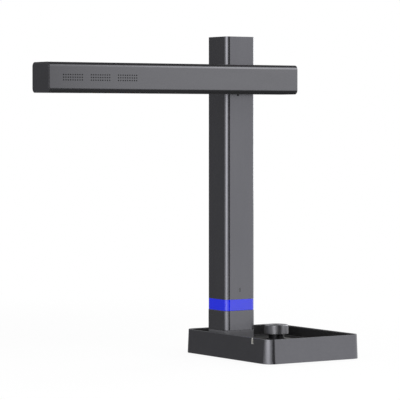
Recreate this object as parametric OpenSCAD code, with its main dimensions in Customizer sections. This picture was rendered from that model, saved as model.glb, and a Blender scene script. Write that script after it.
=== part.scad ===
// Overhead document scanner: a square column stands in an open tray base and carries
// a long camera arm that crosses in front of it and folds down beside it.
// Millimetres. The origin is on the desk under the middle of the base, +Z is up,
// +X runs along the arm towards its short end, and -Y is the side that the arm is on.

/* [Base] */
// Length of the base at its lower edge, along the arm
base_len = 142; // [130:1:165]
// Width of the base at its lower edge, front to back
base_wid = 187; // [172:1:210]
// Height of the base shell
base_h = 30; // [28:1:38]
// How far each wall leans in from its lower edge to the rim
base_draft = 1.2; // [0.4:0.1:2]
// Radius of the upright corners at the lower edge
base_corner_r = 12; // [8:0.5:13]
// Wall of the outer shell
tray_wall = 2.4; // [2:0.1:3]
// Height of the deck's upper face above the shell's lower edge
deck_h = 16; // [15:0.5:18]
// Thickness of the deck
deck_t = 2.4; // [2:0.1:3]
// Wall of the black liner
liner_wall = 1.5; // [1:0.1:2]
// Floor of the black liner
liner_floor_t = 1.2; // [0.8:0.1:2]
// How far the liner's edge stays below the rim
liner_drop = 0.5; // [0.2:0.1:1.5]
// Width of the lead notch in the left wall
notch_w = 3.6; // [2.5:0.1:3.8]
// Depth of the lead notch below the rim
notch_depth = 7.3; // [4:0.1:10]
// Distance of the notch in front of the base's middle
notch_y = 59; // [30:1:70]

/* [Underside] */
// How far the rubber feet stand below the shell
foot_drop = 0.8; // [0.5:0.1:2]
// Diameter of a rubber foot
foot_d = 14; // [10:1:18]
// Depth of the pockets that the rubber feet sit in
foot_pocket = 0.6; // [0.3:0.1:0.8]
// Thickness of the bottom plate
plate_t = 1.6; // [1.4:0.1:2]
// Depth of the bottom plate inside the shell's lower edge
plate_recess = 0.4; // [0.2:0.1:1]
// Thickness of the steel counterweight
weight_t = 10; // [6:0.5:10.5]
// Length of the steel counterweight
weight_len = 108; // [90:1:110]
// Width of the steel counterweight
weight_wid = 78; // [60:1:80]

/* [Column] */
// Side of the square column
col_side = 44; // [42:0.5:48]
// Radius of the column's upright edges
col_r = 6; // [4:0.5:8]
// Wall of the column tube
col_wall = 2.4; // [2:0.1:3]
// Height of the column's top above the shell's lower edge
col_top_h = 400; // [390:5:480]
// Gap between the column's left face and the liner
col_gap = 1; // [0.3:0.1:3]
// Distance of the column's middle behind the base's middle
col_y = 28; // [15:1:35]
// Height of the seam between the foot and the lower sleeve
seam_h = 33.3; // [33:0.1:45]
// Height of the light band's lower edge
band_h0 = 58; // [54:0.5:66]
// Height of the light band
band_h = 14; // [10:0.5:18]
// How far the lower sleeve stands proud of the column's faces
sleeve_swell = 0.3; // [0.1:0.1:0.6]
// Height of the foot's spigot above the light band
spigot_up = 38; // [25:1:60]
// Wall of the spigot
spigot_wall = 3; // [2.6:0.1:4]

/* [Arm] */
// Distance of the arm's middle below the column's top
arm_drop = 54; // [46:1:70]
// Height of the arm's section
arm_h = 36; // [34:0.5:42]
// Depth of the arm's section, front to back
arm_deep = 41.5; // [40:0.5:48]
// Radius of the arm's long edges
arm_r = 5.5; // [4:0.5:7]
// Wall of the arm shell
arm_wall = 2.2; // [1.8:0.1:2.6]
// Height of the camera end above the base's rim when the arm is folded down
fold_gap = 18.5; // [12:0.5:60]
// Length of the arm from its pivot to the short end
arm_short = 56; // [50:0.5:70]
// Gap between the arm and the column
arm_gap = 1; // [0.8:0.1:1.6]
// Width of the slot along the arm's underside
slot_w = 31; // [28:0.5:32]
// Thickness of the underside cover in the slot
cover_t = 2.2; // [1.8:0.1:2.6]

/* [Grilles] */
// Number of grille patches
grille_count = 3; // [2:1:4]
// Columns of holes in a patch
grille_cols = 9; // [5:1:10]
// Rows of holes in a patch
grille_rows = 3; // [1:1:5]
// Distance between neighbouring holes
grille_pitch = 3.15; // [2.6:0.05:3.3]
// Diameter of a grille hole
grille_d = 1.6; // [1:0.1:2]
// Distance between neighbouring patches
patch_pitch = 37.4; // [34:0.1:40]
// Distance of the first column of holes from the camera end
grille_x = 18.5; // [17:0.5:26]

/* [Camera] */
// Distance of the lens from the camera end
lens_x = 36; // [32:0.5:40]
// Diameter of the lens window
window_d = 22; // [20:0.5:23]
// Width of the trim ring round the lens window
bezel_w = 2; // [1.5:0.1:2.5]
// Diameter of the lens barrel
lens_d = 14; // [10:0.5:16]
// Length of a light bar
bar_len = 62; // [40:1:70]
// Width of a light bar
bar_w = 7; // [5:0.5:8]
// Distance between the middles of the two light bars
bar_gap = 15; // [12:0.5:16]

/* [Hinge] */
// Diameter of the hollow hinge shaft
shaft_d = 14; // [12:0.5:15]
// Diameter of the lead hole through the hinge shaft
shaft_bore_d = 8; // [6:0.5:9]
// Radial clearance between the shaft and its bush
shaft_clear = 0.05; // [0.02:0.01:0.1]
// Wall of the bush
bush_wall = 2; // [1.5:0.1:2.5]
// Thickness of the bush's thrust flange
bush_flange_t = 0.7; // [0.4:0.1:0.7]
// Thickness of the hinge block
block_t = 14; // [12:0.5:15]
// Height of the hinge block
block_h = 44; // [42:1:50]
// How far the arm folds down
fold_deg = 90; // [60:5:90]

/* [Knob] */
// Distance of the knob to the right of the base's middle
knob_x = 26.7; // [18:0.1:40]
// Diameter of the knob's cap
knob_d = 31; // [28:0.5:36]
// Height of the knob's cap
knob_h = 11.6; // [10.5:0.1:14]
// Height of the cap's lower edge above the shell's lower edge
knob_lift = 23.8; // [23:0.1:28]
// Travel of the knob when it is pressed
press_travel = 1.5; // [0.5:0.1:1.7]
// Outer diameter of the collar under the knob
collar_d = 20; // [18:0.5:21]
// Wall of the collar
collar_wall = 2; // [1.5:0.1:2.2]
// Diameter of the encoder shaft
spindle_d = 6; // [5:0.5:6]
// Radial clearance between the encoder shaft and its bush
spindle_clear = 0.05; // [0.02:0.01:0.1]
// Wall of the encoder's bush
spindle_bush_wall = 1; // [0.8:0.1:1.2]

/* [Leads] */
// Diameter of the lead that climbs the column
lead_d = 3.6; // [2.4:0.1:4]
// Radius of the lead's bends at its middle line
lead_bend = 8; // [7.5:0.1:8.4]
// Distance of the climbing lead behind the column's middle
lead_back = 13; // [12.8:0.1:13.6]

/* [Hidden] */
$fn = 96;

// Small clearances: laid_gap between pieces that are fitted together by hand, fit_gap round the
// bush, part_gap between pieces that move past each other, run_gap along a turning shaft
laid_gap = 0.2;
fit_gap = 0.05;
part_gap = 0.3;
run_gap = 0.1;
// Overlap that fuses two shapes, reach of a cut past a face, and least radius of an inner corner
eps = 0.01;
cut = 1;
min_r = 1;

// Heights in the base
shell_z = foot_drop;
rim_z = shell_z + base_h;
deck_z1 = shell_z + deck_h;
deck_z0 = deck_z1 - deck_t;
plate_z0 = shell_z + plate_recess;
plate_z1 = plate_z0 + plate_t;
liner_z = deck_z1 + liner_floor_t;
liner_top = rim_z - liner_drop;
liner_inset = tray_wall + laid_gap / 2;

// Half sizes of the drafted shell at a height, with an inset from its outer face
function lean(z) = base_draft * (z - shell_z) / base_h;
function half_x(z, inset) = base_len / 2 - lean(z) - inset;
function half_y(z, inset) = base_wid / 2 - lean(z) - inset;
function corner_r(z, inset) = max(base_corner_r - lean(z) - inset, eps);

// Fasteners: shank and head radii
m3_r = 1.5;
m4_r = 2;
m3_head_r = 2.8;
m4_head_r = 3.7;
m3_head_t = m3_head_r - m3_r;
m3_pan_t = 1.7;
m4_pan_t = 2.6;
m2_r = 1.2;
m2_head_r = 2.2;
m2_pan_t = 1.4;
thread_gap = 1;

// Underside
boss_r = 3.5;
boss_inset = 9;
boss_x = base_len / 2 - boss_inset;
boss_y = base_wid / 2 - boss_inset;
boss_at = [for (sx = [-1, 1], y = [-boss_y, 0, boss_y]) [sx * boss_x, y]];
bottom_screw_len = 8;
foot_inset_x = 16;
foot_inset_y = 22;
foot_at = [for (sx = [-1, 1], sy = [-1, 1])
    [sx * (base_len / 2 - foot_inset_x), sy * (base_wid / 2 - foot_inset_y)]];
weight_margin = 6;
weight_r = 4;
weight_y1 = -base_wid / 2 + tray_wall + weight_margin + weight_wid;
weight_my = weight_y1 - weight_wid / 2;
weight_screw_in = 14;
weight_at = [for (sx = [-1, 1], sy = [-1, 1])
    [sx * (weight_len / 2 - weight_screw_in), weight_my + sy * (weight_wid / 2 - weight_screw_in)]];

// Column and its foot
col_x = -half_x(rim_z, liner_inset + liner_wall) + col_gap + col_side / 2;
col_front = col_y - col_side / 2;
col_back = col_y + col_side / 2;
col_in = col_side - 2 * col_wall;
col_in_r = max(col_r - col_wall, min_r);
spigot_side = col_in - 2 * laid_gap;
spigot_r = max(col_in_r - laid_gap, min_r);
seam_z = shell_z + seam_h;
band_z0 = shell_z + band_h0;
band_z1 = band_z0 + band_h;
col_top = shell_z + col_top_h;
spigot_top = band_z1 + spigot_up;
foot_floor_t = 12;
foot_thread = foot_floor_t - 2;
foot_hole_off = 15;
foot_at_col = [for (sx = [-1, 1], sy = [-1, 1]) [col_x + sx * foot_hole_off, col_y + sy * foot_hole_off]];
lead_hole_gap = 1.6;
lead_hole_r = lead_d / 2 + lead_hole_gap;
lead_hole_y = col_y + lead_back + 1;
groove_margin = 2;
strip_t = 0.5;
strip_gap = 0.5;
led_size = 3;
led_t = 0.7;
led_pitch = 9;
groove_depth = strip_t + led_t;
cap_t = 2.5;
cap_skirt = 8;
cap_skirt_wall = 2.5;
window_w = 2.4;
window_h = 5;
window_t = 1.4;
window_sunk = 0.1;
window_x = -1.5;
window_up = 11.9;
spigot_screw_up = 24;
spigot_screw_z = band_z1 + spigot_screw_up;
spigot_screw_off = 11;
spigot_screw_x = [col_x - spigot_screw_off, col_x + spigot_screw_off];

// Arm and its place
arm_z = col_top - arm_drop;
arm_long = arm_z - rim_z - fold_gap;
arm_back = col_front - arm_gap;
arm_y = arm_back - arm_deep / 2;
arm_front = arm_back - arm_deep;
arm_x0 = col_x - arm_long;
arm_x1 = col_x + arm_short;
arm_len = arm_x1 - arm_x0;
arm_z0 = arm_z - arm_h / 2;
arm_in_y0 = arm_front + arm_wall;
arm_in_y1 = arm_back - arm_wall;
arm_in_z0 = arm_z0 + arm_wall;
cover_w = slot_w - 2 * laid_gap;
cover_lip = 1.8;
cover_lip_t = 1.5;
cover_z0 = arm_z0 + max(arm_wall - cover_t, 0);
cover_top = arm_z0 + arm_wall + cover_lip_t;
end_t = 3;
end_block = 12;
end_block_w = 26;
end_block_h = 9;
end_thread = end_block_h - 2;
cover_screw_in = end_t + 6;
cover_screw_off = 8;
cover_screw_at = [for (x = [arm_x0 + cover_screw_in, arm_x1 - cover_screw_in], s = [-1, 1])
    [x, arm_y + s * cover_screw_off]];

// Grilles
patch_w = (grille_cols - 1) * grille_pitch;
patch_h = (grille_rows - 1) * grille_pitch;
cloth_t = 0.3;
cloth_edge = 1.6;
speaker_h = 18;
speaker_edge = 1.5;
speaker_dish = 1.4;
capsule_r = 2;
capsule_t = 1.5;
mic_board_t = 1.2;
mic_board_h = 14;

// Camera and lights
lens_mx = arm_x0 + lens_x;
window_glass_t = 1.2;
view_edge = 1;
housing_side = lens_d + 10;
housing_h = 13;
sensor_board_t = 1.2;
sensor_board_side = housing_side + 1;
sensor_side = 8;
sensor_t = 0.9;
sensor_space = 2;
barrel_wall = 2;
lens_dish = 1.2;
bar_after = 8;
bar_x0 = lens_mx + window_d / 2 + bezel_w + bar_after;
bar_step = 1;
led_board_t = 1;
bar_led_n = 8;

// Hinge
block_y0 = col_front + col_wall + laid_gap / 2;
block_y1 = block_y0 + block_t;
bush_r = shaft_d / 2 + shaft_clear;
bush_out_r = bush_r + bush_wall;
bush_flange_w = 4;
bush_flange_r = bush_out_r + bush_flange_w;
bracket_t = 3;
bracket_margin = 1;
bracket_h = arm_h - 2 * max(arm_r, arm_wall) - bracket_margin;
bracket_left = 62;
bracket_right = 38;
shaft_flange_t = 3;
shaft_flange_w = 38;
shaft_flange_h = bracket_h;
shaft_screw_in = 4;
shaft_screw_x = shaft_flange_w / 2 - shaft_screw_in;
shaft_screw_z = shaft_flange_h / 2 - shaft_screw_in;
shaft_screw_at = [for (sx = [-1, 1], sz = [-1, 1])
    [col_x + sx * shaft_screw_x, arm_z + sz * shaft_screw_z]];
shaft_y0 = arm_in_y1 - bracket_t - shaft_flange_t;
shaft_past = 0.6;
disc_t = 1;
washer_t = 1.6;
washer_wid = 6.5;
land_wid = 2.4;
washer_r = shaft_d / 2 + washer_wid;
washer_land = shaft_d / 2 + land_wid;
pin_r = 1.7;
pin_in = 5;
pin_pitch_r = washer_land + pin_r + part_gap;
stop_play = 1.4;
spring_t = 1;
spring_cone = 0.7;
nut_t = 4;
nut_wid = 3;
nut_flats = shaft_d + 2 * nut_wid;
disc_y0 = block_y1;
washer_y0 = disc_y0 + disc_t + run_gap;
springs_y0 = washer_y0 + washer_t;
nut_y0 = springs_y0 + 2 * (spring_t + spring_cone);
shaft_end = nut_y0 + nut_t + shaft_past;
block_screw_x = 14.5;
block_screw_z = 11;
block_at = [for (sx = [-1, 1], sz = [-1, 1]) [col_x + sx * block_screw_x, arm_z + sz * block_screw_z]];
grub_at = [col_x - 4.6, arm_z0 - 0.4];
grub_sunk = 0.2;
grub_socket = 1.6;

// Knob and encoder
knob_at = [knob_x, col_y];
enc_w = 12.5;
enc_d = 13;
enc_h = 6.6;
enc_z0 = deck_z0 - enc_h;
enc_floor = 1;
enc_roof = 1;
enc_chamber_r = 4.4;
flange_r = 4;
flange_t = 0.9;
plunger_r = 2.6;
plunger_t = 0.9;
enc_bush_r = spindle_d / 2 + spindle_clear;
enc_bush_out_r = enc_bush_r + spindle_bush_wall;
cap_z0 = shell_z + knob_lift;
cap_z1 = cap_z0 + knob_h;
cap_shell = 2.4;
cap_top_t = 2.2;
cap_edge = 0.7;
hub_t = 3;
hub_stem_r = 5;
hub_stem_down = 2.4;
cap_in_r = knob_d / 2 - cap_shell;
hub_z1 = cap_z1 - cap_top_t;
hub_z0 = hub_z1 - hub_t;
hub_stem_z = hub_z0 - hub_stem_down;
enc_bush_top = hub_stem_z - press_travel - part_gap;
collar_top = hub_z0 - press_travel - 2 * part_gap;
collar_flange_w = 2.5;
collar_flange_t = 1.2;
enc_nut_wid = 1.5;
enc_nut_flats = 2 * (enc_bush_out_r + enc_nut_wid);
enc_nut_t = 2;
hub_roof = 0.4;
spindle_top = hub_z1 - hub_roof;
flange_top = deck_z0 - enc_roof - run_gap;
plunger_top = flange_top - flange_t - run_gap;
collar_edge = 0.4;

// Boards in the base
board_t = 1.6;
board_drop = 7.2;
board_x0 = -12;
board_len = 64;
board_wid = 34;
board_x1 = board_x0 + board_len;
board_edge = 1.4;
board_screw_len = 5;
board_y1 = half_y(deck_z0, tray_wall) - board_edge;
board_y0 = board_y1 - board_wid;
board_z1 = deck_z0 - board_drop;
board_z0 = board_z1 - board_t;
post_r = 3;
post_in = 4.5;
post_step = 17;
board_at = [for (x = [board_x0 + post_in, board_x1 - post_in], dy = [0, post_step])
    [x, board_y0 + post_in + dy]];
main_chips = [[18, 9, 14, 14, 1.4], [35, 6, 9, 11, 1.2]];
cap_at = [51, 12];
cap_r = 3.1;
cap_h = 5.4;
usb_x = 20;
usb_w = 8.94;
usb_h = 3.26;
usb_len = 7.4;
usb_wall = 0.35;
usb_clear = 0.35;
usb_z = board_z1 + usb_h / 2;
usb_in = 1.2;
tongue_w = 6.6;
tongue_t = 0.7;
usb_y1 = half_y(usb_z, 0) - usb_in;
enc_board_w = 22;
enc_board_d = 20;
enc_board_t = 1.2;
enc_board_z1 = enc_z0;
ribbon_w = 8;
ribbon_t = 0.3;
ribbon_land = 3;

// Lead route
lead_r = lead_d / 2;
lead_y = col_y + lead_back;
lead_plug_len = 8;
lead_plug_w = 9;
lead_plug_h = 4.6;
lead_z = board_z1 + lead_plug_h / 2;
lead_start_y = board_y0 + post_in + post_step / 2;
lead_split_y = block_y0 + block_t + disc_t;
lead_split_gap = 0.4;

// Board in the arm, level with the lead on the hinge's middle line
// and laid between the lights' boards and the hinge's bracket
arm_board_wid = 26;
arm_board_gap = 8;
arm_board_after = 11.5;
arm_board_x1 = col_x - bracket_left - arm_board_gap;
arm_board_x0 = bar_x0 + bar_len + bar_step + arm_board_after;
arm_board_len = arm_board_x1 - arm_board_x0;
arm_board_z1 = arm_z - lead_plug_h / 2;
arm_board_z0 = arm_board_z1 - board_t;
arm_post_r = 2.2;
arm_post_in = 5;
arm_post_edge = 3.5;
arm_chips = [[0.25 * arm_board_len, 5, 16, 16, 1.6], [0.55 * arm_board_len, 7, 10, 12, 1.2]];
flat_socket = [4, 14, 2];
camera_ribbon_w = 12;
ribbon_slope = 12;

// A rectangle with round corners, centred
module round_rect(l, w, r) {
    rr = min(r, l / 2 - eps, w / 2 - eps);
    square([l - 2 * rr, w], center = true);
    square([l, w - 2 * rr], center = true);
    for (sx = [-1, 1], sy = [-1, 1])
        translate([sx * (l / 2 - rr), sy * (w / 2 - rr)]) circle(rr);
}

// A square tube or bar round the column's middle line
module column_bar(side, r, z0, z1) {
    translate([col_x, col_y, z0]) linear_extrude(z1 - z0) round_rect(side, side, r);
}

// A solid that follows the drafted shell at an inset, between two heights
module base_solid(inset, za, zb) {
    ax = base_len / 2 - base_corner_r;
    ay = base_wid / 2 - base_corner_r;
    xa = half_x(za, inset);
    xb = half_x(zb, inset);
    ya = half_y(za, inset);
    yb = half_y(zb, inset);
    rotate([90, 0, 0]) linear_extrude(2 * ay, center = true)
        polygon([[-xa, za], [xa, za], [xb, zb], [-xb, zb]]);
    rotate([90, 0, 90]) linear_extrude(2 * ax, center = true)
        polygon([[-ya, za], [ya, za], [yb, zb], [-yb, zb]]);
    for (sx = [-1, 1], sy = [-1, 1]) translate([sx * ax, sy * ay, za])
        cylinder(h = zb - za, r1 = corner_r(za, inset), r2 = corner_r(zb, inset));
}

// A cylinder along +Z from z0 to z1, at a point of the plan
module z_cylinder(at, r, z0, z1) {
    translate([at[0], at[1], z0]) cylinder(h = z1 - z0, r = r);
}

// A cylinder along +Y from y0 to y1
module y_cylinder(r, y0, y1) {
    translate([0, y0, 0]) rotate([-90, 0, 0]) cylinder(h = y1 - y0, r = r);
}

// A flat-headed screw along +Z, its head at z = 0 and below the thread
module flat_screw(r, head_r, head_t, len) {
    cylinder(h = head_t, r1 = head_r, r2 = r);
    cylinder(h = len, r = r);
}

// The seat that a flat-headed screw sinks into
module flat_seat(r, head_r, head_t, len) {
    translate([0, 0, -eps]) cylinder(h = head_t + eps, r1 = head_r + eps, r2 = r);
    translate([0, 0, -cut]) cylinder(h = cut, r = head_r + eps);
    translate([0, 0, -cut]) cylinder(h = len + cut, r = r);
}

// A pan-headed screw along +Z, its head below z = 0
module pan_screw(r, head_r, head_t, len) {
    translate([0, 0, -head_t]) cylinder(h = head_t, r = head_r);
    translate([0, 0, -eps]) cylinder(h = len + eps, r = r);
}

// The arm's section, swept along X
module arm_bar(inset, x0, x1) {
    translate([x0, arm_y, arm_z]) rotate([90, 0, 90])
        linear_extrude(x1 - x0)
            round_rect(arm_deep - 2 * inset, arm_h - 2 * inset, max(arm_r - inset, min_r));
}

// The lead notch in the left wall
module notch() {
    translate([-base_len, -notch_y - notch_w / 2, rim_z - notch_depth])
        cube([base_len, notch_w, notch_depth + cut]);
}

// Outer shell of the base: drafted walls, a deck, and posts under it
module base_tray() {
    color("#48484c") difference() {
        union() {
            difference() {
                base_solid(0, shell_z, rim_z);
                base_solid(tray_wall, shell_z - cut, deck_z0);
                base_solid(tray_wall, deck_z1, rim_z + cut);
            }
            for (p = boss_at) z_cylinder(p, boss_r, plate_z1, deck_z0 + eps);
            for (p = board_at) z_cylinder(p, post_r, board_z1, deck_z0 + eps);
        }
        for (p = boss_at) z_cylinder(p, m3_r, plate_z1 - cut, plate_z1 + bottom_screw_len);
        for (p = board_at) z_cylinder(p, m2_r, board_z1 - cut, board_z1 + board_screw_len);
        for (p = foot_at_col) z_cylinder(p, m4_r + laid_gap, deck_z0 - cut, deck_z1 + cut);
        z_cylinder([col_x, lead_hole_y], lead_hole_r, deck_z0 - cut, deck_z1 + cut);
        z_cylinder(knob_at, enc_bush_out_r + laid_gap / 2, deck_z0 - cut, deck_z1 + cut);
        notch();
        usb_hole();
    }
}

// The stadium-shaped hole for the socket in the rear wall
module usb_hole() {
    translate([usb_x, usb_y1 - usb_len, usb_z]) rotate([-90, 0, 0])
        linear_extrude(usb_len + usb_in + cut)
            round_rect(usb_w + 2 * usb_clear, usb_h + 2 * usb_clear, usb_h / 2 + usb_clear);
}

// Black inner tub that lines the tray
module tray_liner() {
    color("#1f1e1f") difference() {
        base_solid(liner_inset, deck_z1, liner_top);
        base_solid(liner_inset + liner_wall, liner_z, rim_z + cut);
        translate([col_x, col_y, deck_z1 - cut])
            linear_extrude(liner_floor_t + 2 * cut)
                round_rect(col_side + 2 * laid_gap, col_side + 2 * laid_gap, col_r + laid_gap);
        z_cylinder(knob_at, collar_d / 2 - collar_wall, deck_z1 - cut, liner_z + cut);
        notch();
    }
}

// Steel plate that closes the base from below
module bottom_plate() {
    gap = tray_wall + laid_gap;
    color("#2b2b2d") difference() {
        base_solid(gap, plate_z0, plate_z1);
        for (p = concat(boss_at, weight_at))
            translate([p[0], p[1], plate_z0]) flat_seat(m3_r, m3_head_r, m3_head_t, plate_t + cut);
        for (p = foot_at) z_cylinder(p, foot_d / 2 + eps, plate_z0 - cut, plate_z0 + foot_pocket);
    }
}

// Four rubber feet in pockets of the bottom plate
module rubber_feet() {
    color("#19191a") for (p = foot_at) z_cylinder(p, foot_d / 2, 0, plate_z0 + foot_pocket);
}

// Six screws from the bottom plate into the shell
module bottom_screws() {
    color("silver") for (p = boss_at) translate([p[0], p[1], plate_z0])
        flat_screw(m3_r, m3_head_r, m3_head_t, plate_t + bottom_screw_len - thread_gap);
}

// Steel block that keeps the base down under the arm's overhang
module counterweight() {
    color("#6d6f72") difference() {
        translate([0, weight_my, plate_z1]) linear_extrude(weight_t)
            round_rect(weight_len, weight_wid, weight_r);
        for (p = weight_at) z_cylinder(p, m3_r, plate_z1 - cut, plate_z1 + weight_t / 2);
    }
}

// Four screws from the bottom plate into the counterweight
module weight_screws() {
    color("silver") for (p = weight_at) translate([p[0], p[1], plate_z0])
        flat_screw(m3_r, m3_head_r, m3_head_t, plate_t + weight_t / 2 - thread_gap);
}

// Chips on a board, each given by its corner, its two sides and its height
module chips(list, corner) {
    for (c = list) translate(corner + [c[0], c[1], -eps]) cube([c[2], c[3], c[4] + eps]);
}

// Main board: socket side at the rear, lead plug at its left edge, chips on top
module main_board() {
    color("#1d4a2c") difference() {
        union() {
            translate([board_x0, board_y0, board_z0]) cube([board_len, board_wid, board_t]);
            translate([board_x0, lead_start_y - lead_plug_w / 2, board_z1 - eps])
                cube([lead_plug_len, lead_plug_w, lead_plug_h]);
            chips(main_chips, [board_x0, board_y0, board_z1]);
            z_cylinder([board_x0, board_y0] + cap_at, cap_r, board_z1 - eps, board_z1 + cap_h);
        }
        for (p = board_at) z_cylinder(p, m2_r, board_z0 - cut, board_z1 + cut);
    }
}

// Four screws that hold the main board to the deck's posts
module board_screws() {
    color("silver") for (p = board_at) translate([p[0], p[1], board_z0])
        pan_screw(m2_r, m2_head_r, m2_pan_t, board_t + board_screw_len - thread_gap);
}

// Data and power socket in the rear wall
module usb_socket() {
    color("#b9bbbd") {
        translate([usb_x, usb_y1 - usb_len, usb_z]) rotate([-90, 0, 0]) {
            difference() {
                linear_extrude(usb_len) round_rect(usb_w, usb_h, usb_h / 2);
                translate([0, 0, usb_wall]) linear_extrude(usb_len)
                    round_rect(usb_w - 2 * usb_wall, usb_h - 2 * usb_wall, usb_h / 2 - usb_wall);
            }
            linear_extrude(usb_len - cut) square([tongue_w, tongue_t], center = true);
        }
    }
}

// Rotary encoder with a push switch: a box under the deck, a bush up through it
module encoder_body() {
    color("#8d8f92") difference() {
        union() {
            translate([knob_x - enc_w / 2, col_y - enc_d / 2, enc_z0]) cube([enc_w, enc_d, enc_h]);
            z_cylinder(knob_at, enc_bush_out_r, deck_z0 - eps, enc_bush_top);
        }
        z_cylinder(knob_at, enc_chamber_r, enc_z0 + enc_floor, deck_z0 - enc_roof);
        z_cylinder(knob_at, enc_bush_r, enc_z0 + enc_floor, enc_bush_top + cut);
    }
}

// Hexagon nut that clamps the encoder to the deck
module encoder_nut() {
    color("#c9cbcd") translate([knob_x, col_y, deck_z1]) difference() {
        cylinder(h = enc_nut_t, r = enc_nut_flats / 2 / cos(30), $fn = 6);
        translate([0, 0, -cut]) cylinder(h = enc_nut_t + 2 * cut, r = enc_bush_out_r);
    }
}

// Small board that the encoder is soldered to
module encoder_board() {
    color("#1d4a2c")
        translate([knob_x - enc_board_w / 2, col_y - enc_board_d / 2, enc_board_z1 - enc_board_t])
            cube([enc_board_w, enc_board_d, enc_board_t]);
}

// Flat ribbon from the encoder's board to the main board
module encoder_ribbon() {
    y0 = col_y + enc_board_d / 2 - ribbon_land;
    color("#d8d3c4") translate([knob_x - ribbon_w / 2, y0, enc_board_z1 - enc_board_t - ribbon_t])
        cube([ribbon_w, board_y0 - y0, ribbon_t]);
}

// Fixed collar that stands on the liner under the knob
module knob_collar() {
    r = collar_d / 2;
    ro = r + collar_flange_w;
    color("#3a3b3d") translate([knob_x, col_y, liner_z]) rotate_extrude() polygon([
        [r - collar_wall, 0], [ro - collar_edge, 0], [ro, collar_edge],
        [ro, collar_flange_t - collar_edge], [ro - collar_edge, collar_flange_t],
        [r, collar_flange_t], [r, collar_top - liner_z], [r - collar_wall, collar_top - liner_z]
    ]);
}

// Foot of the column: a block on the deck with a hollow spigot that carries the sleeves and the tube
module column_foot() {
    in_side = spigot_side - 2 * spigot_wall;
    color("#4a4a4e") difference() {
        union() {
            column_bar(col_side, col_r, deck_z1, seam_z);
            column_bar(spigot_side, spigot_r, seam_z - eps, spigot_top);
        }
        column_bar(in_side, max(spigot_r - spigot_wall, min_r), deck_z1 + foot_floor_t, spigot_top + cut);
        for (p = foot_at_col) z_cylinder(p, m4_r, deck_z1 - cut, deck_z1 + foot_thread);
        z_cylinder([col_x, lead_hole_y], lead_hole_r, deck_z1 - cut, deck_z1 + foot_floor_t + cut);
        difference() {
            column_bar(col_side, col_r, band_z0 + groove_margin, band_z1 - groove_margin);
            column_bar(spigot_side - 2 * groove_depth, max(spigot_r - groove_depth, min_r),
                band_z0, band_z1);
        }
        for (x = spigot_screw_x) translate([x, 0, spigot_screw_z])
            y_cylinder(m3_r, col_back - col_wall - laid_gap - spigot_wall - cut, col_back);
    }
}

// Four screws from below the deck into the foot
module foot_screws() {
    color("silver") for (p = foot_at_col) translate([p[0], p[1], deck_z0])
        pan_screw(m4_r, m4_head_r, m4_pan_t, deck_t + foot_thread - thread_gap);
}

// Sleeve between the foot and the light band
module lower_sleeve() {
    color("#4a4a4e") difference() {
        column_bar(col_side + 2 * sleeve_swell, col_r + sleeve_swell, seam_z, band_z0);
        column_bar(col_in, col_in_r, seam_z - cut, band_z0 + cut);
    }
}

// Clear ring that spreads the blue light round the column
module light_band() {
    color("#2f38e0") difference() {
        column_bar(col_side, col_r, band_z0, band_z1);
        column_bar(col_in, col_in_r, band_z0 - cut, band_z1 + cut);
    }
}

// Light strip wrapped round the spigot's groove, with its chips facing out
module led_strip() {
    in_side = spigot_side - 2 * groove_depth;
    z0 = band_z0 + groove_margin + strip_gap;
    z1 = band_z1 - groove_margin - strip_gap;
    chips = floor((in_side - 2 * led_size) / led_pitch) + 1;
    color("#e8e6dc") {
        difference() {
            column_bar(in_side + 2 * strip_t, spigot_r - groove_depth + strip_t, z0, z1);
            column_bar(in_side, max(spigot_r - groove_depth, min_r), z0 - cut, z1 + cut);
        }
        for (side = [0:3], i = [0:chips - 1])
            translate([col_x, col_y, 0]) rotate([0, 0, 90 * side])
                translate([(i - (chips - 1) / 2) * led_pitch, eps - in_side / 2 - strip_t, (z0 + z1) / 2])
                    translate([-led_size / 2, -led_t, -led_size / 2]) cube([led_size, led_t, led_size]);
    }
}

// The upright slot of the status window, drawn at the column's front face
module window_slot(deep, w, h) {
    translate([col_x + window_x, col_front, band_z1 + window_up]) rotate([-90, 0, 0])
        translate([0, 0, -eps]) linear_extrude(deep + eps) round_rect(w, h, w / 2);
}

// Smoked window for the status lamp in the column's front face
module status_window() {
    color("#2e2e31") translate([0, window_sunk, 0]) window_slot(window_t, window_w, window_h);
}

// Column tube, open for the bush, the screws and the status window
module column_tube() {
    color("#4b4b4f") difference() {
        column_bar(col_side, col_r, band_z1, col_top);
        column_bar(col_in, col_in_r, band_z1 - cut, col_top + cut);
        translate([col_x, 0, arm_z])
            y_cylinder(bush_out_r + fit_gap, col_front - cut, col_front + col_wall + cut);
        for (p = block_at) translate([p[0], col_front, p[1]])
            rotate([-90, 0, 0]) flat_seat(m3_r, m3_head_r, m3_head_t, col_wall + cut);
        translate([grub_at[0], 0, grub_at[1]])
            y_cylinder(m3_r, col_front - cut, col_front + col_wall + cut);
        window_slot(col_wall + cut, window_w, window_h);
        for (x = spigot_screw_x) translate([x, col_back, spigot_screw_z])
            rotate([90, 0, 0]) flat_seat(m3_r, m3_head_r, m3_head_t, col_wall + cut);
    }
}

// Two screws at the rear that hold the tube to the spigot
module spigot_screws() {
    color("#1c1c1d") for (x = spigot_screw_x) translate([x, col_back, spigot_screw_z])
        rotate([90, 0, 0]) flat_screw(m3_r, m3_head_r, m3_head_t, col_wall + laid_gap + spigot_wall);
}

// Flat plug in the top of the column
module column_cap() {
    side = col_in - laid_gap;
    z = col_top - cap_t;
    color("#4b4b4f") difference() {
        union() {
            column_bar(side, col_in_r - laid_gap / 2, z, col_top);
            column_bar(side - 2 * laid_gap, max(col_in_r - laid_gap, min_r), z - cap_skirt, z + eps);
        }
        column_bar(side - 2 * cap_skirt_wall, min_r, z - cap_skirt - cut, z);
    }
}

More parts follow.
